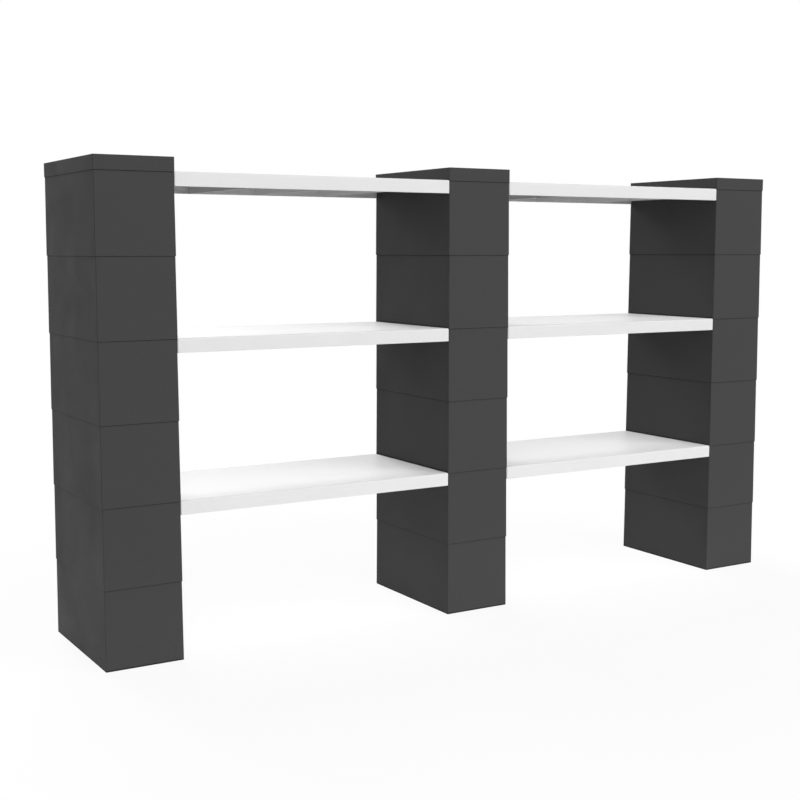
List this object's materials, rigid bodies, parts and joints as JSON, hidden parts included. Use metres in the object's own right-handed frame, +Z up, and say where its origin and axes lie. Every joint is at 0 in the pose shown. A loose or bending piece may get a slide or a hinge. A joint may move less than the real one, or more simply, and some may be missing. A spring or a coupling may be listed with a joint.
{
  "type": "modular shelving unit",
  "caption": "Low, wide shelving unit with box-shaped columns of stacked hollow plastic blocks and white tray shelves locked between them, open front and back.",
  "frame": {"origin": "on the floor, under the centre of the unit's box", "axes": "+X along the shelves to the right, +Y from the front to the back, +Z up"},
  "size_m": [1.651, 0.3048, 0.9417],
  "materials": {
    "block_plastic": "fine moulded texture, satin",
    "shelf_plastic": "smooth moulded, low sheen"
  },
  "bodies": {
    "frame": {"left_block_1": "block_plastic", "left_block_2": "block_plastic", "left_block_3": "block_plastic", "left_block_4": "block_plastic", "left_block_5": "block_plastic", "left_block_6": "block_plastic", "middle_block_1": "block_plastic", "middle_block_2": "block_plastic", "middle_block_3": "block_plastic", "middle_block_4": "block_plastic", "middle_block_5": "block_plastic", "middle_block_6": "block_plastic", "right_block_1": "block_plastic", "right_block_2": "block_plastic", "right_block_3": "block_plastic", "right_block_4": "block_plastic", "right_block_5": "block_plastic", "right_block_6": "block_plastic", "left_bay_lower_shelf": "shelf_plastic", "left_bay_middle_shelf": "shelf_plastic", "left_bay_top_shelf": "shelf_plastic", "right_bay_lower_shelf": "shelf_plastic", "right_bay_middle_shelf": "shelf_plastic", "right_bay_top_shelf": "shelf_plastic"},
    "left_top_cap": {"left_cap": "block_plastic"},
    "middle_top_cap": {"middle_cap": "block_plastic"},
    "right_top_cap": {"right_cap": "block_plastic"}
  },
  "joints": [
    {"name": "left_cap_lift", "type": "slide", "parent": "frame", "child": "left_top_cap", "axis": [0, 0, 1], "range_m": [0, 0.06]},
    {"name": "middle_cap_lift", "type": "slide", "parent": "frame", "child": "middle_top_cap", "axis": [0, 0, 1], "range_m": [0, 0.06]},
    {"name": "right_cap_lift", "type": "slide", "parent": "frame", "child": "right_top_cap", "axis": [0, 0, 1], "range_m": [0, 0.06]}
  ]
}
